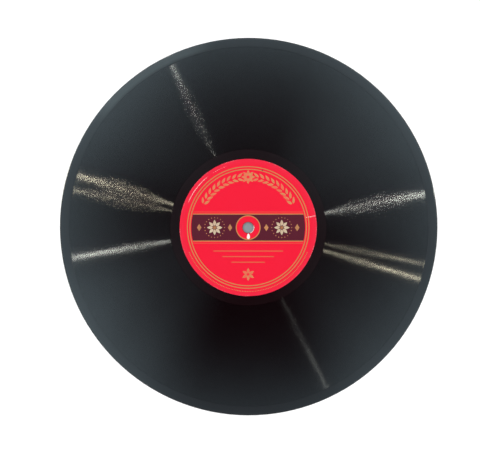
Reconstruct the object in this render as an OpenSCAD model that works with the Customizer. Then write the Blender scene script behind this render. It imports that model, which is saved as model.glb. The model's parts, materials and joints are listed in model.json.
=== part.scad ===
// Shellac gramophone record, 25 cm across
// One pressing with a spiral groove on each face, and a paper label pressed flush into each face.
// Sizes are in millimetres. The origin is the centre of the spindle hole, in the plane of the
// lower face, with +Z up out of the front face and +Y towards the top of its label.

/* [Pressing] */
// Diameter of the disc
disc_d = 250; // [200:1:305]
// Thickness of the disc
disc_t = 2.1; // [1.8:0.1:3]
// Radius of the rounding along both edges of the rim
rim_r = 0.7; // [0.3:0.1:0.8]
// Diameter of the spindle hole, through the disc and both labels
hole_d = 7.24; // [7:0.02:7.6]

/* [Labels] */
// Diameter of each paper label
label_d = 90.7; // [70:0.1:100]
// Thickness of the label paper
label_t = 0.12; // [0.1:0.02:0.3]
// Gap between a label's edge and the wall of its seat
label_gap = 0.05; // [0.02:0.01:0.2]
// Gap between a label's back and the floor of its seat
label_bed = 0.02; // [0.01:0.01:0.05]
// Distance from a label's edge to the ring that the press leaves in it
press_ring_inset = 2.4; // [1.5:0.1:6]
// Width of that ring
press_ring_w = 0.8; // [0.4:0.1:1.2]
// Depth of that ring
press_ring_depth = 0.04; // [0.02:0.01:0.06]

/* [Groove] */
// Width of the plain margin, from the rim to the first turn
margin_w = 5.7; // [3:0.1:12]
// Least width of the smooth run-out area, from the last turn to the label
runout_w = 5.9; // [3:0.1:12]
// Distance from one turn to the next: 0.29 on a pressing, and drawn wider here, to build in time
groove_pitch = 2; // [1:0.5:4]
// Width of the groove between its lips
groove_w = 0.16; // [0.1:0.01:0.18]
// Depth of the groove below its lips
groove_depth = 0.06; // [0.04:0.01:0.08]
// Depth of the lands between the turns below the margin
land_drop = 0.03; // [0.02:0.01:0.06]

/* [Hidden] */
$fn = 180;

disc_r = disc_d / 2;
hole_r = hole_d / 2;
label_r = label_d / 2;
seat_r = label_r + label_gap;
seat_depth = label_t + label_bed;
first_turn_r = disc_r - margin_w;
land_z = disc_t - land_drop;
// Each cut runs this far past the face that it starts from
overcut = 1;

// The spiral is drawn as on a drawing board, in half turns about two centres in turn. Each half is
// a true arc, smaller than the one before by half the pitch, and both centres lie on the line where
// the halves join, so their tangents meet. A pitch in 64ths makes the ends agree to the last digit.
turn_pitch = round(groove_pitch * 64) / 64;
groove_turns = floor((first_turn_r - label_r - runout_w) / turn_pitch);
centre_offset = turn_pitch / 4;

// Radius of turn k in half h, about that half's own centre
function turn_r(h, k) = first_turn_r - turn_pitch * (k + h / 2 + 1 / 4);

// Outline of one turn of the groove at radius r, from its outer lip to its inner one
function notch(r) = [
    [r + groove_w / 2, land_z],
    [r, land_z - groove_depth],
    [r - groove_w / 2, land_z]
];

// Outline of all that half h takes off the blank: the drop to the lands, and every turn below it
function comb(h) = concat(
    [[turn_r(h, -0.5), disc_t + overcut], [turn_r(h, -0.5), land_z]],
    [for (k = [0 : groove_turns - 1]) each notch(turn_r(h, k))],
    [[turn_r(h, groove_turns - 0.5), land_z], [turn_r(h, groove_turns - 0.5), disc_t + overcut]]
);

// Half h of the cut, which runs inwards anticlockwise as seen from its own face
module half_turn(h) {
    rotate([0, 0, 180 * h])
        translate([centre_offset, 0, 0])
            rotate_extrude(angle = 180)
                polygon(comb(h));
}

// What is drawn for the front face, turned over to the back one
module turned_over() {
    translate([0, 0, disc_t])
        rotate([180, 0, 0])
            children();
}

// Half section of the pressing before its grooves, with the rim rounded
module blank_section() {
    square([disc_r - rim_r, disc_t]);
    translate([0, rim_r])
        square([disc_r, disc_t - 2 * rim_r]);
    for (z = [rim_r, disc_t - rim_r])
        translate([disc_r - rim_r, z])
            circle(rim_r);
}

// Half section of what the spindle and the two labels take out of it
module seats_section() {
    translate([-overcut, -overcut])
        square([hole_r + overcut, disc_t + 2 * overcut]);
    translate([-overcut, -overcut])
        square([seat_r + overcut, seat_depth + overcut]);
    translate([-overcut, disc_t - seat_depth])
        square([seat_r + overcut, seat_depth + overcut]);
}

module shellac_disc() {
    color("#191516")
        difference() {
            rotate_extrude()
                difference() {
                    blank_section();
                    seats_section();
                }
            half_turn(0);
            half_turn(1);
            turned_over() half_turn(0);
            turned_over() half_turn(1);
        }
}

// A label as it lies in the front seat, with the mark of the press in its face
module label() {
    ring_r = label_r - press_ring_inset;
    rotate_extrude()
        polygon([
            [hole_r, disc_t - label_t],
            [label_r, disc_t - label_t],
            [label_r, disc_t],
            [ring_r + press_ring_w / 2, disc_t],
            [ring_r, disc_t - press_ring_depth],
            [ring_r - press_ring_w / 2, disc_t],
            [hole_r, disc_t]
        ]);
}

module front_label() {
    color("#c81e32") label();
}

module back_label() {
    color("#c81e32") turned_over() label();
}

shellac_disc();
front_label();
back_label();
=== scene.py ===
# %% [markdown]
# # A shellac gramophone record in Blender
#
# The record is a flat black pressing with a spiral groove on both faces and a
# round paper label pressed into each side. The sizes come from the CAD model,
# and this script gives each piece its visible surface: the fine groove, the
# worn gloss, the printed paper. Read it from the top, one cell at a time.

import json
import math

import bpy
from mathutils import Matrix, Vector


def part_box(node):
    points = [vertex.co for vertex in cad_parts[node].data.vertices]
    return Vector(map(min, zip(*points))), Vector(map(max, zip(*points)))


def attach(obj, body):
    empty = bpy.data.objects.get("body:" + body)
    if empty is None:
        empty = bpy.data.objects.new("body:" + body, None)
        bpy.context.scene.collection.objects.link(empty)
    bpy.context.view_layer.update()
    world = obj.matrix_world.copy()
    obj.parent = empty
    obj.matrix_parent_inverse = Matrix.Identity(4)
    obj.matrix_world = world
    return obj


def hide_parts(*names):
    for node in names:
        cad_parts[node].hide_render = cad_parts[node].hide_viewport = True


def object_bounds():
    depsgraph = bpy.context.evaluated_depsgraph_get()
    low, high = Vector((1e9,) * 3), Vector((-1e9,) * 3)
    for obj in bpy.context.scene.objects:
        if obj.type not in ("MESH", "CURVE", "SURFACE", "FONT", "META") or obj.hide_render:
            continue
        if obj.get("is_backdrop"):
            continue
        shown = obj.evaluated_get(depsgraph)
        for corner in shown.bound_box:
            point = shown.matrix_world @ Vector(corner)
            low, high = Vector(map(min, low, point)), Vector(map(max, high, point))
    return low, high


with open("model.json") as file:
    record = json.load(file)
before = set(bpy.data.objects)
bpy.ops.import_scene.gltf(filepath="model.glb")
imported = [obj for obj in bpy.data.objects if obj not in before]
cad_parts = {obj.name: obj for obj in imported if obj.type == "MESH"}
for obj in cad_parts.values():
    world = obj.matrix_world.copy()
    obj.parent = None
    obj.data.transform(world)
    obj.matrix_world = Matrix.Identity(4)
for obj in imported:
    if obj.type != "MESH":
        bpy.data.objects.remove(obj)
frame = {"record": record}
cad_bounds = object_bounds()

MM = 0.001
disc_low, disc_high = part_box("shellac_disc")
label_low, label_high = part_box("front_label")
mounts = {mount["name"]: mount for mount in frame["record"]["mounts"]}

DISC_R = disc_high.x
THICK = disc_high.z
LABEL_R = label_high.x
LABEL_T = label_high.z - label_low.z
HOLE_R = mounts["spindle_hole"]["dims"]["r_mm"] * MM
print(f"disc {2 * DISC_R / MM:.1f} x {THICK / MM:.2f} mm, label {2 * LABEL_R / MM:.1f} mm")

# %% [markdown]
# ## The camera
#
# The photograph looks down on the record almost squarely. The label sits a
# little below the middle of the outline and to its left, and a lean of about
# one degree gives just that. A lens shift then slides the picture without
# turning it, so that the hole falls where the photograph has it. Cycles cleans
# its noise with the help of the colours and normals it meets. Here it takes
# them as they are, or it would smooth the sparkle of the groove away.

# %% Camera from the disc's place in the picture
PICTURE_W = 480
PICTURE_H = 459
HOLE_PX = (248.15, 227.6)
DISC_WIDTH_PX = 378.2
SENSOR_W = 36
CAMERA_DISTANCE = 0.42
LEAN_RIGHT = math.radians(0.55)
LEAN_UP = math.radians(1.0)

metres_per_px = 2 * DISC_R / DISC_WIDTH_PX
camera_data = bpy.data.cameras.new("camera")
camera_data.sensor_width = SENSOR_W
camera_data.lens = SENSOR_W * CAMERA_DISTANCE / (PICTURE_W * metres_per_px)
camera_data.shift_x = (PICTURE_W / 2 - HOLE_PX[0]) / PICTURE_W
camera_data.shift_y = (HOLE_PX[1] - PICTURE_H / 2) / PICTURE_W
camera = bpy.data.objects.new("camera", camera_data)
camera.rotation_euler = (-LEAN_UP, LEAN_RIGHT, 0)
camera_way = camera.rotation_euler.to_matrix() @ Vector((0, 0, 1))
camera.location = Vector((0, 0, THICK)) + camera_way * CAMERA_DISTANCE
scene = bpy.context.scene
scene.collection.objects.link(camera)
scene.camera = camera
scene.view_settings.view_transform = "Standard"
scene.cycles.denoising_prefilter = "NONE"
print(f"lens {camera_data.lens:.1f} mm, one pixel is {metres_per_px / MM:.3f} mm")

# %% [markdown]
# ## Writing node trees as sums
#
# Shaders and Geometry Nodes are both full of small sums. A Wire holds one
# socket, and adding or multiplying wires makes the Math nodes, so the sums
# below read like ordinary formulas.

# %% Wires
def feed(tree, slot, value):
    """Links a Wire to an input, or sets the input to a constant."""
    if isinstance(value, Wire):
        tree.links.new(value.socket, slot)
    else:
        slot.default_value = value


def add_node(tree, kind, inputs=None, **settings):
    """Adds a node, sets its options, then feeds its inputs."""
    node = tree.nodes.new(kind)
    for name, value in settings.items():
        setattr(node, name, value)
    for key, value in (inputs or {}).items():
        feed(tree, node.inputs[key], value)
    return node


def wire(tree, kind, inputs=None, output=0, **settings):
    """Adds a node and gives one of its outputs, as a Wire."""
    return Wire(tree, add_node(tree, kind, inputs, **settings).outputs[output])


class Wire:
    """One value in a node tree."""

    def __init__(self, tree, socket):
        self.tree = tree
        self.socket = socket

    def math(self, operation, *others):
        """The result of a Math node on this value and any others."""
        inputs = dict(enumerate((self, *others)))
        return wire(self.tree, "ShaderNodeMath", inputs, operation=operation)

    def __add__(self, other):
        return self.math("ADD", other)

    def __sub__(self, other):
        return self.math("SUBTRACT", other)

    def __mul__(self, other):
        return self.math("MULTIPLY", other)

    def __truediv__(self, other):
        return self.math("DIVIDE", other)

    def __neg__(self):
        return self.math("MULTIPLY", -1.0)

    def __rsub__(self, other):
        return (-self).math("ADD", other)

    __radd__ = __add__
    __rmul__ = __mul__

    def step(self, low, high, to_low=0.0, to_high=1.0):
        """A smooth step from to_low, at low, to to_high, at high."""
        inputs = {0: self, 1: low, 2: high, 3: to_low, 4: to_high}
        kind = "ShaderNodeMapRange"
        return wire(self.tree, kind, inputs, interpolation_type="SMOOTHSTEP")

    def line(self, centre, width, soft):
        """1 on a line of this width about centre, with edges that fade over soft."""
        away = (self - centre).math("ABSOLUTE")
        return away.step(width / 2 - soft / 2, width / 2 + soft / 2, 1.0, 0.0)


# %% [markdown]
# Some nodes come up again and again: joining three values into a vector and
# taking it apart, noise, a mix of two colours, a bump. Each gets a short helper.
# Marks on a record are best placed on its plan, so plan_place gives a spot in
# millimetres, with its radius and its direction from the centre.

# %% Helpers for the nodes used most
def vector(tree, x, y, z):
    """A vector wire from three values."""
    return wire(tree, "ShaderNodeCombineXYZ", {0: x, 1: y, 2: z})


def split(tree, value):
    """The three values in a vector wire."""
    node = add_node(tree, "ShaderNodeSeparateXYZ", {0: value})
    return [Wire(tree, part) for part in node.outputs]


def vector_math(tree, operation, *values):
    """A vector sum, product or the like, as a wire."""
    return wire(tree, "ShaderNodeVectorMath", dict(enumerate(values)), operation=operation)


def noise(tree, place, detail, roughness):
    """A noise value from 0 to 1, about 0.5 in the middle."""
    inputs = {"Vector": place, "Scale": 1.0, "Detail": detail, "Roughness": roughness}
    return wire(tree, "ShaderNodeTexNoise", inputs)


def plan_noise(tree, x, y, per_mm, seed, detail, roughness):
    """Noise over the plan, with about per_mm patches to the millimetre."""
    return noise(tree, vector(tree, x * per_mm, y * per_mm, seed), detail, roughness)


def blend(tree, factor, first, second):
    """The first colour where the factor is 0 and the second where it is 1."""
    return wire(tree, "ShaderNodeMix", {0: factor, 6: first, 7: second}, 2, data_type="RGBA")


def bumped(tree, height):
    """The surface's normal, tilted by a height in metres."""
    return wire(tree, "ShaderNodeBump", {"Strength": 1.0, "Distance": 1.0, "Height": height})


def turned(tree, direction, source, target):
    """A direction carried between the piece and the world."""
    return wire(
        tree,
        "ShaderNodeVectorTransform",
        {0: direction},
        vector_type="VECTOR",
        convert_from=source,
        convert_to=target,
    )


def to_world(tree, direction):
    """A direction on the piece, as a direction in the world."""
    return turned(tree, direction, "OBJECT", "WORLD")


def to_object(tree, direction):
    """A direction in the world, as a direction on the piece."""
    return turned(tree, direction, "WORLD", "OBJECT")


def new_material(name):
    """A material with an empty Principled shader: (material, tree, shader)."""
    material = bpy.data.materials.new(name)
    material.use_nodes = True
    tree = material.node_tree
    return material, tree, tree.nodes["Principled BSDF"]


def plan_place(tree, turned_over=False):
    """x, y, radius in millimetres, and the cosine and sine round the disc."""
    along_x, along_y, _ = split(tree, wire(tree, "ShaderNodeTexCoord", output="Object"))
    x = along_x / MM
    y = along_y / (-MM if turned_over else MM)
    radius = (x * x + y * y).math("SQRT").math("MAXIMUM", 0.01)
    return x, y, radius, x / radius, y / radius


def sector(cosine, sine, azimuth, wide, narrow):
    """1 within narrow degrees of an azimuth, fading to 0 at wide degrees."""
    a = math.radians(azimuth)
    toward = cosine * math.cos(a) + sine * math.sin(a)
    return toward.step(math.cos(math.radians(wide)), math.cos(math.radians(narrow)))


# %% [markdown]
# ## Opening and running a Geometry Nodes tree
#
# A node tree is a recipe and not yet a mesh. It has named inputs, and a base
# mesh goes into it. The modifier runs the recipe on that base, and the result is
# kept as a plain mesh, which any other program can read.

# %% Open a tree, run it and keep the mesh
# Added before a floor, so that a whole number never falls just short of itself
ROUNDING = 1e-4


def open_group(name, base, inputs, result):
    """A Geometry Nodes tree with its sockets, and its inputs as wires."""
    tree = bpy.data.node_groups.new(name, "GeometryNodeTree")
    face = tree.interface
    face.new_socket(base, in_out="INPUT", socket_type="NodeSocketGeometry")
    for input_name, kind in inputs.items():
        face.new_socket(input_name, in_out="INPUT", socket_type="NodeSocket" + kind)
    face.new_socket(result, in_out="OUTPUT", socket_type="NodeSocketGeometry")
    group_in = tree.nodes.new("NodeGroupInput")
    return tree, {item.name: Wire(tree, item) for item in group_in.outputs}


def close_group(tree, result):
    """The same tree, with its result linked to its output."""
    tree.links.new(result.socket, tree.nodes.new("NodeGroupOutput").inputs[0])
    return tree


def row_and_column(tree, columns):
    """The row and the column of each point, counted off from its index."""
    index = wire(tree, "GeometryNodeInputIndex")
    row = (index / columns + ROUNDING).math("FLOOR")
    return row, index - row * columns


def run_tree(name, base, tree, values):
    """A plain mesh object from a tree that runs on a base mesh."""
    carrier = bpy.data.objects.new(name + "_carrier", base)
    scene.collection.objects.link(carrier)
    modifier = carrier.modifiers.new("tree", "NODES")
    modifier.node_group = tree
    for item in tree.interface.items_tree:
        if item.name in values:
            modifier[item.identifier] = values[item.name]
    graph = bpy.context.evaluated_depsgraph_get()
    mesh = bpy.data.meshes.new_from_object(carrier.evaluated_get(graph))
    mesh.name = name
    piece = bpy.data.objects.new(name, mesh)
    scene.collection.objects.link(piece)
    bpy.data.objects.remove(carrier)
    bpy.data.meshes.remove(base)
    return piece


# %% [markdown]
# ## The turning tool
#
# Everything on a record is round, so one Geometry Nodes tree can turn each
# piece on a lathe. It takes half of a cross-section, as a row of points, and
# spins it about Z on a grid of rows. Each point may carry a drift: how far it
# travels inwards during one turn. A groove whose points drift by one pitch
# meets the next groove when the turn is over, and that makes a true spiral,
# with no seam. The fade lets the spiral start from nothing at the margin and
# end in nothing at the run-out area. A mark picks the faces that get a second
# material, and a fray makes an edge uneven.

# %% Geometry Nodes tree that spins a section
SPIN_INPUTS = {
    "Columns": "Int",
    "Segments": "Int",
    "Weld": "Float",
    "Fray Seed": "Float",
    "Sharp Angle": "Float",
    "Surface": "Material",
    "Marked Surface": "Material",
}
POINT_VALUES = ("drift", "cut_r", "cut_z", "fade", "fade_offset", "fray", "mark")
FRAY_WAVES = 3.0
MARKED_FROM = 0.6


def named_value(tree, name):
    """A value stored on the points under a name."""
    return wire(tree, "GeometryNodeInputNamedAttribute", {"Name": name}, data_type="FLOAT")


def finish_solid(tree, given, solid):
    """Welds the turned grid, sets its shading and gives it its materials."""
    weld = {"Geometry": solid, "Distance": given["Weld"]}
    whole = wire(tree, "GeometryNodeMergeByDistance", weld)
    whole = wire(tree, "GeometryNodeRealizeInstances", {0: whole})
    whole = wire(tree, "GeometryNodeSetShadeSmooth", {0: whole})
    bend = wire(tree, "GeometryNodeInputMeshEdgeAngle")
    edges = {"Geometry": whole, "Shade Smooth": bend.math("LESS_THAN", given["Sharp Angle"])}
    whole = wire(tree, "GeometryNodeSetShadeSmooth", edges, domain="EDGE")
    plain = {"Geometry": whole, "Material": given["Surface"]}
    whole = wire(tree, "GeometryNodeSetMaterial", plain)
    marked = {
        "Geometry": whole,
        "Selection": named_value(tree, "marked").math("GREATER_THAN", MARKED_FROM),
        "Material": given["Marked Surface"],
    }
    return wire(tree, "GeometryNodeSetMaterial", marked)


def spin_tree():
    """The node group that turns a section into a closed solid."""
    tree, given = open_group("spin_section", "Section", SPIN_INPUTS, "Solid")
    grid_size = {"Vertices X": given["Segments"] + 1, "Vertices Y": given["Columns"]}
    grid = wire(tree, "GeometryNodeMeshGrid", grid_size)
    row, column = row_and_column(tree, given["Columns"])
    turn = row / given["Segments"]

    def sampled(source, kind="FLOAT"):
        """A value on the section's points, read by column."""
        inputs = {"Geometry": given["Section"], "Value": source, "Index": column}
        return wire(tree, "GeometryNodeSampleIndex", inputs, data_type=kind)

    position = wire(tree, "GeometryNodeInputPosition")
    section_r, _, section_z = split(tree, sampled(position, "FLOAT_VECTOR"))
    point = {name: sampled(named_value(tree, name)) for name in POINT_VALUES}
    shown = 1.0 + point["fade"] * (point["fade_offset"] + turn - 1.0)
    angle = turn * (2 * math.pi)
    cosine = angle.math("COSINE")
    sine = angle.math("SINE")
    edge_place = vector(tree, cosine * FRAY_WAVES, sine * FRAY_WAVES, given["Fray Seed"])
    edge = noise(tree, edge_place, 4.0, 0.7)
    radius = section_r - point["drift"] * turn
    radius = radius + point["cut_r"] * shown + point["fray"] * (edge - 0.5)
    height = section_z + point["cut_z"] * shown
    spot = {"Geometry": grid, "Position": vector(tree, radius * cosine, radius * sine, height)}
    placed = wire(tree, "GeometryNodeSetPosition", spot)
    mark = {"Geometry": placed, "Name": "marked", "Value": point["mark"] * shown}
    store = "GeometryNodeStoreNamedAttribute"
    marked = wire(tree, store, mark, data_type="FLOAT", domain="POINT")
    return close_group(tree, finish_solid(tree, given, marked))


SPIN = spin_tree()
print(f"spin_section: {len(SPIN.nodes)} nodes")

# %% [markdown]
# The section goes in as a loose row of points with its values stored on them.
# The last row of the grid lies on the first, so the weld closes the turn.

# %% Spin a section
WELD = 2e-7


def spin(name, section, segments, surface, marked_surface, fray_seed=0.0, sharp=80):
    """Turns a section, a list of (r, z, point values), into a solid piece."""
    mesh = bpy.data.meshes.new(name + "_section")
    mesh.from_pydata([(r, 0.0, z) for r, z, _ in section], [], [])
    for value in POINT_VALUES:
        layer = mesh.attributes.new(value, "FLOAT", "POINT")
        layer.data.foreach_set("value", [point.get(value, 0.0) for _, _, point in section])
    values = {
        "Columns": len(section),
        "Segments": segments,
        "Weld": WELD,
        "Fray Seed": fray_seed,
        "Sharp Angle": math.radians(sharp),
        "Surface": surface,
        "Marked Surface": marked_surface,
    }
    piece = run_tree(name, mesh, SPIN, values)
    print(f"{name}: {len(piece.data.polygons)} faces")
    return piece


# %% [markdown]
# ## Shellac
#
# The pressing is a dark mineral-filled resin. The plain parts, the margin, the
# run-out area and the rim, are polished by the press, and later dulled by
# thumbs and sleeves. The recorded band is another surface altogether. Its
# walls spread light only across the groove, so its gloss is anisotropic, with
# the tangent pointing out from the centre, and a lamp shows as a streak that
# runs from the label to the margin.
#
# The sound makes the walls swing a little from side to side. A Voronoi pattern
# gives each short stretch of wall its own lean, across the groove and along
# it, and adds that to the normal. So each streak breaks up into fine sparkle,
# widest where the music is loudest and calm towards the margin. Playing has
# worn the walls flatter than they were cut, most of all those that face
# outwards, because the arm pulls the needle towards the centre. The steps
# named quiet and loud run from one radius in millimetres to another.

# %% Walls of the groove
WALL_FROM = (0.97, 0.85)
WALL_SLOPE = 0.07
WORN_INWARD = 0.09
WORN_OUTWARD = 0.24
QUIET_INWARD = (80.0, 98.0)
QUIET_OUTWARD = (92.0, 112.0)
QUIET_CALM = 0.75
QUIET_DULL = (0.002, 0.042)
SOUND_SLOPE = 0.040
LOUD_OUTER = (120.0, 84.0, 0.05, 1.0)
LOUD_INNER = (50.0, 73.0, 0.05, 1.0)
LOUD_INWARD = (100.0, 78.0, 0.04, 0.32)
CELLS_ROUND = 740.0
CELLS_PER_MM = 9.2


def by_facing(facing, inward, outward):
    """One value on walls that face the centre, another on those that face out."""
    return facing.step(-0.2, 0.2, inward, outward)


def wall_lean(tree, radius, cosine, sine):
    """The normal of the playing surface, how wall-like it is, and its extra dullness."""
    sound = vector(tree, cosine * CELLS_ROUND, sine * CELLS_ROUND, radius * CELLS_PER_MM)
    cells = wire(tree, "ShaderNodeTexVoronoi", {"Vector": sound, "Scale": 1.0}, "Color")
    lean_across, lean_along, _ = split(tree, cells)
    surface = wire(tree, "ShaderNodeNewGeometry", output="Normal")
    normal_x, normal_y, normal_z = split(tree, to_object(tree, surface))
    wall = normal_z.math("ABSOLUTE").step(*WALL_FROM)
    facing = normal_x * cosine + normal_y * sine
    quiet = by_facing(facing, radius.step(*QUIET_INWARD), radius.step(*QUIET_OUTWARD))
    across = (lean_across - 0.5) * wall * (1.0 - quiet * QUIET_CALM) * (2 * WALL_SLOPE)
    across = across - facing * by_facing(facing, WORN_INWARD, WORN_OUTWARD)
    loud = radius.step(*LOUD_OUTER) * radius.step(*LOUD_INNER)
    loud = loud * by_facing(facing, radius.step(*LOUD_INWARD), 1.0)
    swing = lean_along * 2.0 - 1.0
    along = swing * swing.math("ABSOLUTE") * loud * wall * SOUND_SLOPE
    slope = vector(tree, cosine * across - sine * along, sine * across + cosine * along, 0.0)
    leaning = vector_math(tree, "ADD", surface, to_world(tree, slope))
    softer = quiet * by_facing(facing, *QUIET_DULL)
    return vector_math(tree, "NORMALIZE", leaning), wall, softer


# %% [markdown]
# Two materials share the resin's colour, nearly black and a little greyer
# towards the edge. The grooved one is dullest near the label, and where the
# first turn is still shallow it takes the margin's gloss, so no bright line
# shows where the groove begins. The plain one has smudges, and a painted sheen
# lifts one side of the margin to a pale bluish grey. Seen from low across the
# disc, dust and fine scuffs spread the gloss into a satin sheen, and a Layer
# Weight node does that.
# An export drops a gloss level that varies, so that socket also holds one plain
# value, which then takes its place.

# %% Materials of the pressing
OUTER = (0.0120, 0.0135, 0.0160, 1.0)
INNER_GROOVED = (0.0034, 0.0006, 0.0011, 1.0)
INNER_PLAIN = (0.0068, 0.0014, 0.0022, 1.0)
# A pale bluish grey painted on one side of the margin as a sheen
MARGIN_SHEEN = (0.040, 0.049, 0.053, 1.0)
MARGIN_SHEEN_SECTOR = (123, 23.4, 12.6)
MARGIN_SHEEN_FROM = (118.0, 121.5)
GROOVED_GLOSS = 0.46
GROOVED_POLISH = (46.0, 92.0, 0.34, 0.5)
PLAIN_GLOSS = 0.24
PLAIN_POLISH = (48.0, 115.0, 0.18, 0.26)
SATIN_FROM = (0.12, 0.45)
SATIN_LOSS = 0.6
SATIN_ROUGHNESS = 0.4
SMUDGE_HEIGHT = 0.002 * MM


def resin(tree, radius, clouds, inner):
    """The dark colour of the pressing, greyer towards the edge."""
    out = radius / (DISC_R / MM)
    return blend(tree, out.math("POWER", 5.0) * (0.7 + clouds * 0.6), inner, OUTER)


def satin_at_low_angles(tree):
    """0 for a surface seen from above, 1 for one seen from low across the disc."""
    up = to_world(tree, vector(tree, 0.0, 0.0, 1.0))
    facing = wire(tree, "ShaderNodeLayerWeight", {"Blend": 0.5, "Normal": up}, "Facing")
    return facing.step(*SATIN_FROM)


def make_grooved():
    """The recorded band, with its anisotropic, sparkling walls."""
    material, tree, shader = new_material("grooved_shellac")
    x, y, radius, cosine, sine = plan_place(tree)
    clouds = plan_noise(tree, x, y, 0.02, 0.0, 4.0, 0.6)
    normal, wall, softer = wall_lean(tree, radius, cosine, sine)
    depth = wire(tree, "ShaderNodeAttribute", output="Fac", attribute_name="marked")
    satin = satin_at_low_angles(tree)
    polish = radius.step(*GROOVED_POLISH) * depth.math("POWER", 1.5) * (1.0 - satin * SATIN_LOSS)
    dull = 0.05 + wall * (0.055 + softer) + clouds * 0.04 + satin * SATIN_ROUGHNESS
    feed(tree, shader.inputs["Base Color"], resin(tree, radius, clouds, INNER_GROOVED))
    feed(tree, shader.inputs["Normal"], normal)
    feed(tree, shader.inputs["Roughness"], dull)
    shader.inputs["Specular IOR Level"].default_value = GROOVED_GLOSS
    feed(tree, shader.inputs["Specular IOR Level"], polish)
    feed(tree, shader.inputs["Tangent"], to_world(tree, vector(tree, cosine, sine, 0.0)))
    shader.inputs["Anisotropic"].default_value = 1.0
    return material


def make_plain():
    """The margin, the run-out area and the rim, smudged by handling."""
    material, tree, shader = new_material("plain_shellac")
    x, y, radius, cosine, sine = plan_place(tree)
    clouds = plan_noise(tree, x, y, 0.02, 0.0, 4.0, 0.6)
    smudge = plan_noise(tree, x, y, 0.15, 0.0, 5.0, 0.65)
    # Painted sheen: one side of the margin is lifted to a pale bluish grey
    painted_sheen = sector(cosine, sine, *MARGIN_SHEEN_SECTOR) * (0.4 + clouds * 0.8) * radius.step(*MARGIN_SHEEN_FROM)
    colour = blend(tree, painted_sheen, resin(tree, radius, clouds, INNER_PLAIN), MARGIN_SHEEN)
    feed(tree, shader.inputs["Base Color"], colour)
    satin = satin_at_low_angles(tree)
    feed(tree, shader.inputs["Roughness"], 0.07 + smudge * 0.10 + satin * SATIN_ROUGHNESS)
    shader.inputs["Specular IOR Level"].default_value = PLAIN_GLOSS
    polish = radius.step(*PLAIN_POLISH) * (1.0 - satin * SATIN_LOSS)
    feed(tree, shader.inputs["Specular IOR Level"], polish)
    feed(tree, shader.inputs["Normal"], bumped(tree, smudge * SMUDGE_HEIGHT))
    return material


grooved_shellac = make_grooved()
plain_shellac = make_plain()
print(f"grooved shellac: {len(grooved_shellac.node_tree.nodes)} nodes")

# %% [markdown]
# ## The disc
#
# A real groove has three or four turns to the millimetre. Each turn drawn here
# stands for two of them, and is twice as wide and as deep, so the shares of
# wall and land stay true while the mesh is half as heavy. The section starts
# in the bore, goes out along the front face and round half of the rim. The
# band lies a hair below the plain parts, and the face eases down to it,
# because a hard step would catch the light as a bright ring. A narrow strip of
# faces beside each edge keeps the smooth shading of the flat parts even.

# %% Section of the disc with its groove
MARGIN_W = 5.7 * MM
RUNOUT_W = 6.0 * MM
RIM_R = 0.7 * MM
RIM_STEPS = 6
SEAT_GAP = 0.05 * MM
SEAT_DEPTH = LABEL_T + 0.02 * MM
LAND_DROP = 0.01 * MM
LAND_STRIP = 0.05 * MM
RUNOUT_EASE = 1.0 * MM
RUNOUT_STRIP = 0.3 * MM
MARGIN_EASE = 3.5 * MM
MARGIN_STRIP = 0.5 * MM
GROOVE_W = 0.32 * MM
GROOVE_DEPTH = 0.12 * MM
GROOVE_PITCH = 0.58 * MM
DISC_SEGMENTS = 128

groove_start = DISC_R - MARGIN_W
seat_r = LABEL_R + SEAT_GAP
groove_turns = int((groove_start - LABEL_R - RUNOUT_W) / GROOVE_PITCH)
groove_end = groove_start - groove_turns * GROOVE_PITCH


def face_section():
    """One face of the disc from the bore to the rim, its surface at height 0."""
    points = [
        (HOLE_R, -SEAT_DEPTH, {}),
        (seat_r, -SEAT_DEPTH, {}),
        (seat_r, 0.0, {}),
        (seat_r + RUNOUT_STRIP, 0.0, {}),
        (groove_end - RUNOUT_EASE - RUNOUT_STRIP, 0.0, {}),
        (groove_end - RUNOUT_EASE, 0.0, {}),
        (groove_end - LAND_STRIP, -LAND_DROP, {}),
        (groove_end, -LAND_DROP, {}),
    ]
    for turn in reversed(range(groove_turns)):
        lip = groove_start - turn * GROOVE_PITCH
        fading = {}
        if turn == 0:
            fading = {"fade": 1.0, "fade_offset": 0.0}
        if turn == groove_turns - 1:
            fading = {"fade": -1.0, "fade_offset": 1.0}
        for across, deep in ((1.0, 0.0), (0.5, 1.0), (0.0, 0.0)):
            values = {
                "drift": GROOVE_PITCH,
                "cut_r": -across * GROOVE_W,
                "cut_z": -deep * GROOVE_DEPTH,
                "mark": 1.0,
            }
            points.append((lip, -LAND_DROP, values | fading))
    points += [
        (groove_start, -LAND_DROP, {}),
        (groove_start + LAND_STRIP, -LAND_DROP, {}),
        (groove_start + MARGIN_EASE, 0.0, {}),
        (groove_start + MARGIN_EASE + MARGIN_STRIP, 0.0, {}),
        (DISC_R - RIM_R - MARGIN_STRIP, 0.0, {}),
    ]
    for step in range(RIM_STEPS + 1):
        angle = math.radians(90 * step / RIM_STEPS)
        points.append((
            DISC_R - RIM_R + RIM_R * math.sin(angle),
            RIM_R * math.cos(angle) - RIM_R,
            {},
        ))
    return points


front = [(r, THICK + z, values) for r, z, values in face_section()]
print(f"{groove_turns} turns from {groove_start / MM:.1f} to {groove_end / MM:.1f} mm")

# %% [markdown]
# The back face is the front face turned over about X, as if the record were
# flipped on the table. Its groove then drifts the other way as the lathe
# turns, and its fades swap ends. Front and back together are the whole
# section, and one spin makes the disc.

# %% Spin the disc
def turned_over(points):
    """The same face on the underside, as if the disc were turned about X."""
    below = []
    for r, z, values in points:
        values = dict(values)
        drift = values.get("drift", 0.0)
        values["drift"] = -drift
        values["cut_z"] = -values.get("cut_z", 0.0)
        if "fade" in values:
            values["fade"] = -values["fade"]
            values["fade_offset"] = 1.0 - values["fade_offset"]
        below.append((r - drift, THICK - z, values))
    return below


section = turned_over(front) + front[::-1]
section.append(section[0])
disc = spin("shellac_pressing", section, DISC_SEGMENTS, plain_shellac, grooved_shellac, sharp=30)

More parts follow.
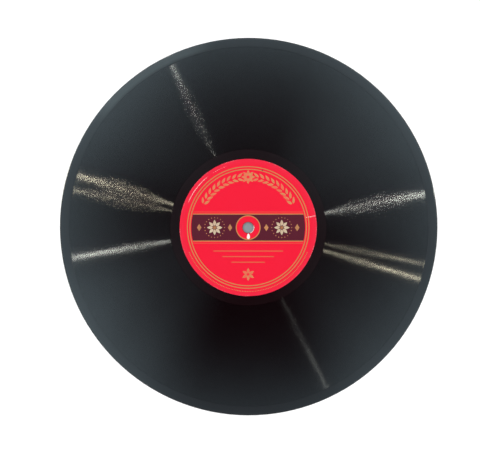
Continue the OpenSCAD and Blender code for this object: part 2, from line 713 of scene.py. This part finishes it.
# %% [markdown]
# ## Label paper
#
# The label is a disc of coloured paper, printed before the pressing and fused
# to the shellac in the press. The plain shapes of the print, its rings, band
# and rules, are soft-edged masks on the paper's own coordinates, in millimetres.

# %% Print on the paper
RED = (0.85, 0.0034, 0.0310, 1.0)
PINK = (0.82, 0.011, 0.048, 1.0)
PLUM = (0.062, 0.0050, 0.017, 1.0)
GOLD = (0.56, 0.225, 0.075, 1.0)
PINK_FROM = (40.6, 44.8)
RINGS = (40.2, 38.5, 7.9)
FIELD_R = 37.6
BOSS_R = 7.7
BAND_H = 17.4
RULES = ((-15.5, 23.0), (-19.2, 17.0), (-22.9, 11.0))
BOLD = (0.6, 0.2)
PRINT_SOFT = 0.1


def most(masks):
    """The greatest of several masks."""
    result = masks[0]
    for mask in masks[1:]:
        result = result.math("MAXIMUM", mask)
    return result


def within(value, limit, soft=PRINT_SOFT):
    """1 below a limit and 0 above it."""
    return value.step(limit - soft, limit + soft, 1.0, 0.0)


def printed_colour(tree, x, y, radius, fibre, clouds):
    """Red paper with a plum band and gilt rings, rules and boss."""
    edge = radius.step(*PINK_FROM)
    colour = blend(tree, edge * 0.7 + (clouds - 0.5) * 0.6, RED, PINK)
    inside = within(radius, FIELD_R)
    level = y.math("ABSOLUTE")
    band = within(level, BAND_H / 2) * inside
    colour = blend(tree, band * (0.93 + fibre * 0.07), colour, PLUM)
    colour = blend(tree, within(radius, BOSS_R), colour, RED)
    bold = [radius.line(ring, *BOLD) for ring in RINGS]
    bold.append(level.line(BAND_H / 2 + 0.2, *BOLD) * inside)
    faint = [level.line(BAND_H / 2 + 1.6, 0.3, 0.15) * inside]
    for rule_y, half in RULES:
        faint.append(y.line(rule_y, 0.7, 0.25) * within(x.math("ABSOLUTE"), half, 0.6))
    rubbed = fibre.step(0.2, 0.5, 0.55, 1.0)
    gilt = most([most(bold), most(faint) * 0.5]) * rubbed
    return blend(tree, gilt, colour, GOLD)


# %% [markdown]
# The die leaves a fine ring near the label's edge. Pale arcs along it are
# scuffs in the print and also a painted highlight of the ring. Years of
# spindles have frayed the hole, and a flake of print is gone below it. All
# this wear and the painted highlight are masks too, broken up by the noise of
# the fibres. The back label is worn in other places, simply by mirroring these
# masks and giving its fibres another seed.

# %% Wear, a painted highlight, and the material of the labels
BARE = (0.90, 0.87, 0.83, 1.0)
DIRT = (0.10, 0.02, 0.03, 1.0)
FLAKE_AT = (0.15, -5.75)
FLAKE_HALF_W = 1.05
FLAKE_HALF_H = 1.85
FRAYED_SECTOR = (-25, 54.6, 29.4)
# Pale arcs along the press ring: scuffs, and a painted highlight of the ring
SCUFF_HIGHLIGHT_R = 42.9
LONG_SCUFF_HIGHLIGHT = (143, 15.6, 8.4)
SHORT_SCUFF_HIGHLIGHT = (116, 7.8, 4.2)
SCRATCH_ACROSS = (0.172, 0.985)
SPECK_R = 38.9
SPECK_AZIMUTH = math.radians(76)
LABEL_GLOSS = 0.12
FIBRE_HEIGHT = 0.012 * MM
WORN_DEPTH = 0.02 * MM
BACK_SEED = 7.0


def wear_and_highlight_mask(x, y, radius, cosine, sine, fibre, clouds):
    """Where the print is scuffed or flaked to bare paper, with a painted highlight along the
    press ring.
    """
    drop = (y - FLAKE_AT[1]) / FLAKE_HALF_H
    aside = (x - FLAKE_AT[0]) / (FLAKE_HALF_W - drop * 0.35)
    flake = aside.math("POWER", 2.0) + drop * drop
    chip = (flake + (fibre - 0.5) * 0.9).step(0.75, 1.1, 1.0, 0.0)
    frayed = (radius + fibre * 1.6).step(4.65, 4.95, 0.9, 0.0)
    frayed = frayed * sector(cosine, sine, *FRAYED_SECTOR)
    # The pale arcs on the press ring are scuffs and also a painted highlight of the ring
    scuff_highlight = radius.line(SCUFF_HIGHLIGHT_R, 0.45, 0.3) * sector(cosine, sine, *LONG_SCUFF_HIGHLIGHT)
    scuff_highlight = scuff_highlight * fibre.step(0.42, 0.55)
    short = radius.line(SCUFF_HIGHLIGHT_R, 0.35, 0.3) * sector(cosine, sine, *SHORT_SCUFF_HIGHLIGHT)
    short = short * fibre.step(0.5, 0.62)
    scratch = (y * SCRATCH_ACROSS[1] - x * SCRATCH_ACROSS[0]).line(0.0, 0.5, 0.4)
    scratch = scratch * radius.step(38.0, 39.0) * x.step(0.0, 1.0) * fibre.step(0.46, 0.58)
    rim = radius.step(44.6, 45.3) * fibre.step(0.5, 0.62) * clouds.step(0.45, 0.6)
    return most([chip, frayed, scuff_highlight * 0.8, short * 0.7, scratch * 0.8, rim * 0.5])


def label_paper(name, back):
    """Printed paper, for the front label or the back one."""
    material, tree, shader = new_material(name)
    x, y, radius, cosine, sine = plan_place(tree, back)
    seed = BACK_SEED if back else 0.0
    side = -1.0 if back else 1.0
    fibre = plan_noise(tree, x, y, 1.6, seed, 6.0, 0.7)
    clouds = plan_noise(tree, x, y, 0.08, seed + 2.0, 3.0, 0.5)
    colour = printed_colour(tree, x, y, radius, fibre, clouds)
    # This mask holds the wear and also the painted highlight on the press ring
    wear_and_highlight = wear_and_highlight_mask(x * side, y, radius, cosine * side, sine, fibre, clouds)
    colour = blend(tree, wear_and_highlight, colour, BARE)
    speck_x = x * side - SPECK_R * math.cos(SPECK_AZIMUTH)
    speck_y = y - SPECK_R * math.sin(SPECK_AZIMUTH)
    speck = (speck_x * speck_x + speck_y * speck_y).step(0.10, 0.35, 1.0, 0.0)
    grime = (radius + fibre * 0.8).step(4.0, 4.9, 0.55, 0.0) * (1.0 - wear_and_highlight)
    colour = blend(tree, most([speck * 0.8, grime]), colour, DIRT)
    feed(tree, shader.inputs["Base Color"], colour)
    feed(tree, shader.inputs["Roughness"], 0.42 + fibre * 0.2 + wear_and_highlight * 0.2)
    shader.inputs["Specular IOR Level"].default_value = LABEL_GLOSS
    feed(tree, shader.inputs["Normal"], bumped(tree, fibre * FIBRE_HEIGHT - wear_and_highlight * WORN_DEPTH))
    return material


paper = {"front": label_paper("front_paper", False), "back": label_paper("back_paper", True)}
print(f"label paper: {len(paper['front'].node_tree.nodes)} nodes")

# %% [markdown]
# Each label is a thin disc from the same lathe. The press ring is a shallow V
# near its edge, and the fray makes the hole uneven, the way spindles leave it.
# The rings of points in between are only there to keep the faces short.

# %% Spin the labels
PRESS_RING_INSET = 2.4 * MM
PRESS_RING_W = 0.8 * MM
PRESS_RING_DEPTH = 0.04 * MM
EDGE_STRIP = 0.2 * MM
HOLE_STRIP = 0.6 * MM
FRAY = 0.35 * MM
FRAY_SEEDS = {"front": 3.0, "back": 11.0}
LABEL_RINGS = 24
LABEL_SEGMENTS = 160


def label_section():
    """A paper disc from the lower hole edge, out, and back over its top."""
    ring_r = LABEL_R - PRESS_RING_INSET
    top = [
        (LABEL_R, 0.0),
        (LABEL_R - EDGE_STRIP, 0.0),
        (ring_r + PRESS_RING_W / 2, 0.0),
        (ring_r, -PRESS_RING_DEPTH),
        (ring_r - PRESS_RING_W / 2, 0.0),
    ]
    outer = top[-1][0]
    inner = HOLE_R + HOLE_STRIP
    for ring in range(1, LABEL_RINGS + 1):
        top.append((outer + (inner - outer) * ring / LABEL_RINGS, 0.0))
    points = [(HOLE_R, -LABEL_T, {"fray": FRAY}), (LABEL_R, -LABEL_T, {})]
    points += [(r, z, {}) for r, z in top]
    points += [(HOLE_R, 0.0, {"fray": FRAY}), points[0]]
    return points


label_sections = {
    "front": [(r, THICK + z, values) for r, z, values in label_section()],
    "back": [(r, -z, values) for r, z, values in label_section()][::-1],
}
labels = {}
for side, points in label_sections.items():
    name = side + "_paper_label"
    surface = paper[side]
    labels[side] = spin(name, points, LABEL_SEGMENTS, surface, surface, FRAY_SEEDS[side])

# %% [markdown]
# ## Gilt ornaments
#
# Bronze powder was dusted on sticky ink, so the print stands a hair above the
# paper. The label here has a plain design of its own. Each ornament is one
# small motif, a leaf, a petal, a bead, a stud or a lozenge, drawn as an outline
# with a flat underside and a slightly raised middle, like a drop of thick ink.

# %% Motifs
INK_T = 0.012 * MM


def motif(name, outline):
    """A thin closed shape with a raised middle, from an outline in mm."""
    count = len(outline)
    middle_x = sum(x for x, _ in outline) / count
    middle_y = sum(y for _, y in outline) / count
    verts = [(x * MM, y * MM, INK_T) for x, y in outline]
    verts += [(x * MM, y * MM, 0.0) for x, y in outline]
    verts.append((middle_x * MM, middle_y * MM, 2 * INK_T))
    faces = [tuple(range(2 * count - 1, count - 1, -1))]
    for i in range(count):
        after = (i + 1) % count
        faces.append((i, after, 2 * count))
        faces.append((i, i + count, after + count, after))
    mesh = bpy.data.meshes.new(name)
    mesh.from_pydata(verts, [], faces)
    shape = bpy.data.objects.new(name, mesh)
    scene.collection.objects.link(shape)
    return shape


def leaf_outline(length, width, steps=6):
    """A pointed leaf that grows along X from its stalk at the origin."""
    lower_side = []
    for i in range(steps + 1):
        along = i / steps
        lower_side.append((length * along, -width / 2 * math.sin(math.pi * along ** 0.8)))
    upper_side = [(x, -y) for x, y in lower_side[-2:0:-1]]
    return lower_side + upper_side


def round_outline(radius, corners):
    """A regular polygon about the origin."""
    steps = [2 * math.pi * i / corners for i in range(corners)]
    return [(radius * math.cos(a), radius * math.sin(a)) for a in steps]


MOTIFS = {
    "leaf": motif("leaf", leaf_outline(4.6, 1.7)),
    "petal": motif("petal", leaf_outline(3.9, 2.0)),
    "bead": motif("bead", round_outline(0.34, 8)),
    "stud": motif("stud", round_outline(1.0, 12)),
    "lozenge": motif("lozenge", [(-1.5, 0.0), (0.0, -2.4), (1.5, 0.0), (0.0, 2.4)]),
}

print(f"{len(MOTIFS)} motifs")

# %% [markdown]
# Printers set a border by repeating one block. The tree below does the same: it
# lays points on an arc, in one lane or two, puts the motif on each, leans it to
# alternate sides and varies its size a little, as a hand-cut block would. Each
# choice is a named input, so a garland, a ring of beads and a rosette are all
# the same tree with other values.

# %% Geometry Nodes tree that repeats a motif along an arc
ARC_INPUTS = {
    "Motif": "Object",
    "Count": "Int",
    "Lanes": "Int",
    "Centre": "Vector",
    "Radius": "Float",
    "Lane Gap": "Float",
    "Start": "Float",
    "Sweep": "Float",
    "Turn": "Float",
    "Lean": "Float",
    "Size Change": "Float",
    "Seed": "Int",
    "Ink": "Material",
}


def arc_tree():
    """The node group that lays a motif along an arc."""
    tree, given = open_group("motif_on_arc", "Base", ARC_INPUTS, "Ornament")
    step, lane = row_and_column(tree, given["Lanes"])
    lanes_less = given["Lanes"] - 1.0
    side = (lane * 2.0 - lanes_less).math("SIGN")
    steps_less = (given["Count"] / given["Lanes"] - 1.0).math("MAXIMUM", 1.0)
    angle = given["Start"] + given["Sweep"] * step / steps_less
    radius = given["Radius"] + side * given["Lane Gap"]
    offset = vector(tree, angle.math("COSINE") * radius, angle.math("SINE") * radius, 0.0)
    place = vector_math(tree, "ADD", given["Centre"], offset)
    spots = wire(tree, "GeometryNodePoints", {"Count": given["Count"], "Position": place})
    change = given["Size Change"]
    sizes = {"Seed": given["Seed"], 2: 1.0 - change, 3: 1.0 + change}
    copies = {
        "Points": spots,
        "Instance": wire(tree, "GeometryNodeObjectInfo", {"Object": given["Motif"]}, "Geometry"),
        "Rotation": vector(tree, 0.0, 0.0, angle + given["Turn"] + side * given["Lean"]),
        "Scale": wire(tree, "FunctionNodeRandomValue", sizes, 1, data_type="FLOAT"),
    }
    whole = wire(tree, "GeometryNodeInstanceOnPoints", copies)
    whole = wire(tree, "GeometryNodeRealizeInstances", {0: whole})
    inked = {"Geometry": whole, "Material": given["Ink"]}
    return close_group(tree, wire(tree, "GeometryNodeSetMaterial", inked))


ARC = arc_tree()
print(f"motif_on_arc: {len(ARC.nodes)} nodes")

# %% [markdown]
# Bronze ink stays rather matt, and it rubs off on the high fibres of the paper,
# so each ink lets a little of the colour below show through. A small metallic
# share gives the gold its sheen. The cream of the rosettes is ordinary ink.

# %% Inks
CREAM = (0.64, 0.53, 0.36, 1.0)
CREAM_RUBBED = (0.45, 0.26, 0.16, 1.0)
BRONZE_SHARE = 0.2
INK_GLOSS = 0.3
GRAIN_HEIGHT = 0.01 * MM


def ink(name, colour, under, metallic):
    """Printing ink that is rubbed thin in places."""
    material, tree, shader = new_material(name)
    x, y = plan_place(tree)[:2]
    grain = plan_noise(tree, x, y, 1.8, 5.0, 5.0, 0.7)
    clouds = plan_noise(tree, x, y, 0.12, 9.0, 2.0, 0.5)
    rubbed = (grain * 0.6 + clouds * 0.4).step(0.40, 0.62, 0.05, 0.55)
    feed(tree, shader.inputs["Base Color"], blend(tree, rubbed, colour, under))
    feed(tree, shader.inputs["Roughness"], 0.36 + grain * 0.25)
    shader.inputs["Metallic"].default_value = metallic
    shader.inputs["Specular IOR Level"].default_value = INK_GLOSS
    feed(tree, shader.inputs["Normal"], bumped(tree, grain * GRAIN_HEIGHT))
    return material


gold_on_red = ink("gold_on_red", GOLD, RED, BRONZE_SHARE)
gold_on_plum = ink("gold_on_plum", GOLD, PLUM, BRONZE_SHARE)
cream_ink = ink("cream_ink", CREAM, CREAM_RUBBED, 0.0)
print(f"each ink: {len(cream_ink.node_tree.nodes)} nodes")

# %% [markdown]
# The garland is two arcs of leaves, mirrored left and right, with a rosette
# where they meet. Each ornament is kept as a plain mesh, as the disc was, and
# all of them are joined into one piece with three inks.

# %% Lay the ornaments on the front label
GARLAND_R = 33.4
GARLAND_SIDES = ((28, 50, 90, -30, 3), (152, -50, -90, 30, 4))
ROSETTE_X = 22.2


def ornament(motif_name, ink_material, count, centre=(0.0, 0.0), lift=0.0, **values):
    """One ornament as a mesh: the motif repeated along an arc (mm, degrees)."""
    settings = {
        "Motif": MOTIFS[motif_name],
        "Count": count,
        "Lanes": values.get("lanes", 1),
        "Centre": (centre[0] * MM, centre[1] * MM, THICK + lift * INK_T),
        "Radius": values.get("radius", 0.0) * MM,
        "Lane Gap": values.get("gap", 0.0) * MM,
        "Start": math.radians(values.get("start", 0.0)),
        "Sweep": math.radians(values.get("sweep", 0.0)),
        "Turn": math.radians(values.get("turn", 0.0)),
        "Lean": math.radians(values.get("lean", 0.0)),
        "Size Change": values.get("change", 0.04),
        "Seed": values.get("seed", 1),
        "Ink": ink_material,
    }
    return run_tree("ornament", bpy.data.meshes.new("ornament_base"), ARC, settings)


def join(name, pieces):
    """One piece from several meshes, with their materials."""
    with bpy.context.temp_override(active_object=pieces[0], selected_editable_objects=pieces):
        bpy.ops.object.join()
    pieces[0].name = name
    return pieces[0]


garland = [
    ornament(
        "leaf",
        gold_on_red,
        18,
        lanes=2,
        radius=GARLAND_R,
        gap=0.45,
        start=start,
        sweep=sweep,
        turn=turn,
        lean=lean,
        change=0.06,
        seed=seed,
    )
    for start, sweep, turn, lean, seed in GARLAND_SIDES
]
print_on_red = garland + [
    ornament("petal", gold_on_red, 8, (0.0, GARLAND_R), radius=0.7, sweep=315, seed=5),
    ornament("petal", gold_on_red, 6, (0.0, -31.0), radius=0.5, start=30, sweep=300, seed=6),
    ornament("bead", gold_on_red, 92, radius=42.3, start=203, sweep=134, change=0.12, seed=7),
]
print_on_plum = []
rosettes = []
for side in (-1, 1):
    middle = (side * ROSETTE_X, 0.0)
    print_on_plum += [
        ornament("lozenge", gold_on_plum, 1, (side * 12.0, 0.0), seed=8),
        ornament("lozenge", gold_on_plum, 1, (side * 32.4, 0.0), seed=9),
        ornament("bead", gold_on_plum, 20, middle, radius=6.6, sweep=342, seed=10),
        ornament("stud", gold_on_plum, 1, middle, lift=2.0, seed=11),
    ]
    rosettes.append(ornament("petal", cream_ink, 8, middle, radius=1.2, sweep=315, seed=12))
gilding = {"front": join("front_gilding", print_on_red + print_on_plum + rosettes)}
for shape in MOTIFS.values():
    bpy.data.objects.remove(shape)
print(f"front gilding: {len(gilding['front'].data.polygons)} faces")

# %% [markdown]
# The other side carries the same print. A copy of the mesh is turned over about
# X, just like the back face of the disc.

# %% Turn a copy over for the back label
turned_mesh = gilding["front"].data.copy()
turned_mesh.transform(Matrix.Translation((0, 0, THICK)) @ Matrix.Rotation(math.pi, 4, "X"))
gilding["back"] = bpy.data.objects.new("back_gilding", turned_mesh)
scene.collection.objects.link(gilding["back"])
print(f"back gilding: {len(turned_mesh.polygons)} faces")

# %% [markdown]
# ## Studio
#
# The record lies on a wide pale floor. Through the hole the photograph shows
# something grey, so the floor is grey there. A little light of its own, seen
# by the camera alone, takes the floor to plain white.

# %% Floor
FLOOR_WHITE = (0.92, 0.92, 0.92, 1.0)
FLOOR_GREY = (0.25, 0.29, 0.31, 1.0)
FLOOR_HALF = 3.0
FLOOR_DROP = 0.08 * MM
GREY_WITHIN = (9.0, 12.0, 1.0, 0.0)
OWN_LIGHT = (300.0, 2000.0, 0.15, 0.5)


def make_floor():
    """A wide pale floor just under the record and its print."""
    mesh = bpy.data.meshes.new("floor")
    corners = [(-1, -1), (1, -1), (1, 1), (-1, 1)]
    verts = [(x * FLOOR_HALF, y * FLOOR_HALF, -FLOOR_DROP) for x, y in corners]
    mesh.from_pydata(verts, [], [(0, 1, 2, 3)])
    floor = bpy.data.objects.new("floor", mesh)
    scene.collection.objects.link(floor)
    material, tree, shader = new_material("floor_white")
    radius = plan_place(tree)[2]
    under = radius.step(*GREY_WITHIN)
    feed(tree, shader.inputs["Base Color"], blend(tree, under, FLOOR_WHITE, FLOOR_GREY))
    shader.inputs["Roughness"].default_value = 0.9
    shader.inputs["Specular IOR Level"].default_value = 0.1
    shader.inputs["Emission Color"].default_value = (1.0, 1.0, 1.0, 1.0)
    seen = wire(tree, "ShaderNodeLightPath", output="Is Camera Ray")
    own_light = radius.step(*OWN_LIGHT)
    feed(tree, shader.inputs["Emission Strength"], seen * (1.0 - under) * own_light)
    mesh.materials.append(material)
    return floor


make_floor()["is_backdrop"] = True
print(f"floor {2 * FLOOR_HALF:.0f} m wide, {FLOOR_DROP / MM:.2f} mm below the record")

# %% [markdown]
# A black glossy disc shows the room more than itself, so the room does most of
# the work. It is dark straight above, where the camera stands, and lightens in
# a ring lower down, and that makes the band fade from black at the label to
# grey at the margin. Some sides of the ring are dimmer than others and one is
# brighter, as walls and windows are, and the photograph shows which. A faint
# light nearer the vertical shows in the smooth run-out area, a belt that is
# the same all round lifts the outer turns, and a soft glow comes from one side.
# Each step below runs from one tilt to another, in degrees from the vertical,
# with its level at each.

# %% Room
DARK = 0.015
COOL = (0.68, 0.90, 1.0, 1.0)
RING_LEAST = 0.25
RING_RISE = (6.0, 24.0, 0.0, 3.8)
RING_END = (25.0, 37.0, 1.0, 0.0)
RING_SIDES = (
    (269, 43, 12, 0.95),
    (238, 26, 6, 0.28),
    (90, 47, 0, 0.25),
    (132, 24, 4, -0.20),
    (0, 28, 0, 0.42),
    (180, 28, 0, 0.40),
    (322, 36, 10, 0.36),
)
INNER_RISE = (3.0, 6.0, 0.0, 1.0)
INNER_END = (7.0, 12.0, 0.40, 0.0)
BELT_RISE = (11.5, 24.0, 0.0, 1.8)
BELT_END = (19.0, 27.0, 1.0, 0.0)
GLOW_SECTOR = (30, 45, 12)
GLOW_LOW = (50.0, 62.0, 0.0, 0.45)
GLOW_IN_RING = 0.36


def room_level(tilt, east, north):
    """How bright the room is in a direction."""
    open_side = 1.0
    for azimuth, wide, narrow, dimmer in RING_SIDES:
        open_side = (1.0 - sector(east, north, azimuth, wide, narrow) * dimmer) * open_side
    in_ring = tilt.step(*RING_END)
    inner = tilt.step(*INNER_RISE) * tilt.step(*INNER_END)
    ring = (RING_LEAST + inner + tilt.step(*RING_RISE)) * in_ring * open_side
    belt = tilt.step(*BELT_RISE) * tilt.step(*BELT_END)
    glow = sector(east, north, *GLOW_SECTOR) * (tilt.step(*GLOW_LOW) + in_ring * GLOW_IN_RING)
    return DARK + ring + belt + glow


def light_room():
    """A room that is white to the camera and lit as above for the record."""
    world = bpy.data.worlds.new("room")
    scene.world = world
    world.use_nodes = True
    tree = world.node_tree
    back = tree.nodes["Background"]
    direction = wire(tree, "ShaderNodeTexCoord", output="Generated")
    along_x, along_y, along_z = split(tree, direction)
    tilt = along_z.math("ARCCOSINE").math("DEGREES")
    flat = tilt.math("RADIANS").math("SINE").math("MAXIMUM", 0.02)
    level = room_level(tilt, along_x / flat, along_y / flat)
    seen = wire(tree, "ShaderNodeLightPath", output="Is Camera Ray")
    gloss = wire(tree, "ShaderNodeLightPath", output="Is Glossy Ray")
    feed(tree, back.inputs["Color"], blend(tree, gloss, (1.0, 1.0, 1.0, 1.0), COOL))
    feed(tree, back.inputs["Strength"], seen + (1.0 - seen) * level)
    return tree


print(f"room: {len(light_room().nodes)} nodes")

# %% [markdown]
# A soft lamp overhead lights the paper and the floor, and gloss doesn't see it.
# The streaks come from strip lamps that gloss alone sees. Each streak crosses
# the whole disc: on the lamp's own side the walls mirror what is close to the
# horizon, and on the far side what stands higher. So each streak has a near
# strip and a far one. The table gives the azimuth of each, its tilt with its
# length, its width, its level and its colour.

# %% Lamps
WHITE = (0.98, 1.0, 0.90)
WARM = (1.0, 0.92, 0.68)
STRIP_DISTANCE = 1.3
NEAR = (75.0, 0.36)
NEAR_LOW = (80.0, 0.30)
FAR = (54.5, 0.30)
FAR_HIGH = (48.5, 0.26)
STRIPS = (
    ("white_near", 10.1, NEAR, 0.033, 120.0, WHITE),
    ("white_far", 8.65, FAR, 0.020, 78.0, WHITE),
    ("warm_near", 164.1, NEAR, 0.035, 104.0, WARM),
    ("warm_far", 164.85, FAR, 0.015, 74.0, WARM),
    ("warm_low_near", 168.9, NEAR, 0.023, 74.0, WARM),
    ("warm_low_far", 169.8, FAR, 0.008, 58.0, WARM),
    ("thin_near", 116.05, NEAR_LOW, 0.021, 126.0, WHITE),
    ("thin_far", 117.45, FAR_HIGH, 0.004, 33.0, WHITE),
)
FILL_HEIGHT = 1.5
FILL_SIZE = (1.2, 1.2)
FILL_POWER = 10.5


def add_lamp(name, azimuth, tilt, distance, size, power, colour, in_gloss):
    """A lamp that faces the record and shows either in gloss or in matt surfaces."""
    data = bpy.data.lights.new(name, "AREA")
    data.shape = "RECTANGLE"
    data.size = size[0]
    data.size_y = size[1]
    data.energy = power
    data.color = colour
    lamp = bpy.data.objects.new(name, data)
    a = math.radians(azimuth)
    t = math.radians(tilt)
    way = Vector((math.sin(t) * math.cos(a), math.sin(t) * math.sin(a), math.cos(t)))
    lamp.location = way * distance
    lamp.rotation_euler = way.to_track_quat("Z", "Y").to_euler()
    lamp.visible_glossy = in_gloss
    lamp.visible_diffuse = not in_gloss
    scene.collection.objects.link(lamp)


add_lamp("overhead_fill", 90, 0, FILL_HEIGHT, FILL_SIZE, FILL_POWER, (1.0, 1.0, 1.0), False)
for name, azimuth, (tilt, length), width, level, colour in STRIPS:
    power = level * width * length * math.pi
    add_lamp("strip_" + name, azimuth, tilt, STRIP_DISTANCE, (width, length), power, colour, True)
print(f"{len(STRIPS)} strips and one soft lamp")

# %% [markdown]
# ## Joining the CAD frame
#
# Each piece rides on the frame's root and stands in for its CAD solid, which is
# hidden. The gilding has no solid of its own, so it only rides along.

# %% Ride the frame
for piece, node, slot in (
    (disc, "shellac_disc", "shellac"),
    (labels["front"], "front_label", "label_paper"),
    (labels["back"], "back_label", "label_paper"),
):
    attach(piece, "root")
    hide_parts(node)
    print(f"{piece.name} stands in for {node}")
for piece in gilding.values():
    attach(piece, "root")

# %% [markdown]
# Last, the box round the CAD model and the box round this one are printed
# side by side.

# %% Print the sizes and finish
seen_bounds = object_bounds()
for name, (low, high) in (("CAD", cad_bounds), ("visual", seen_bounds)):
    print(name, [round((b - a) / MM, 2) for a, b in zip(low, high)], "mm")
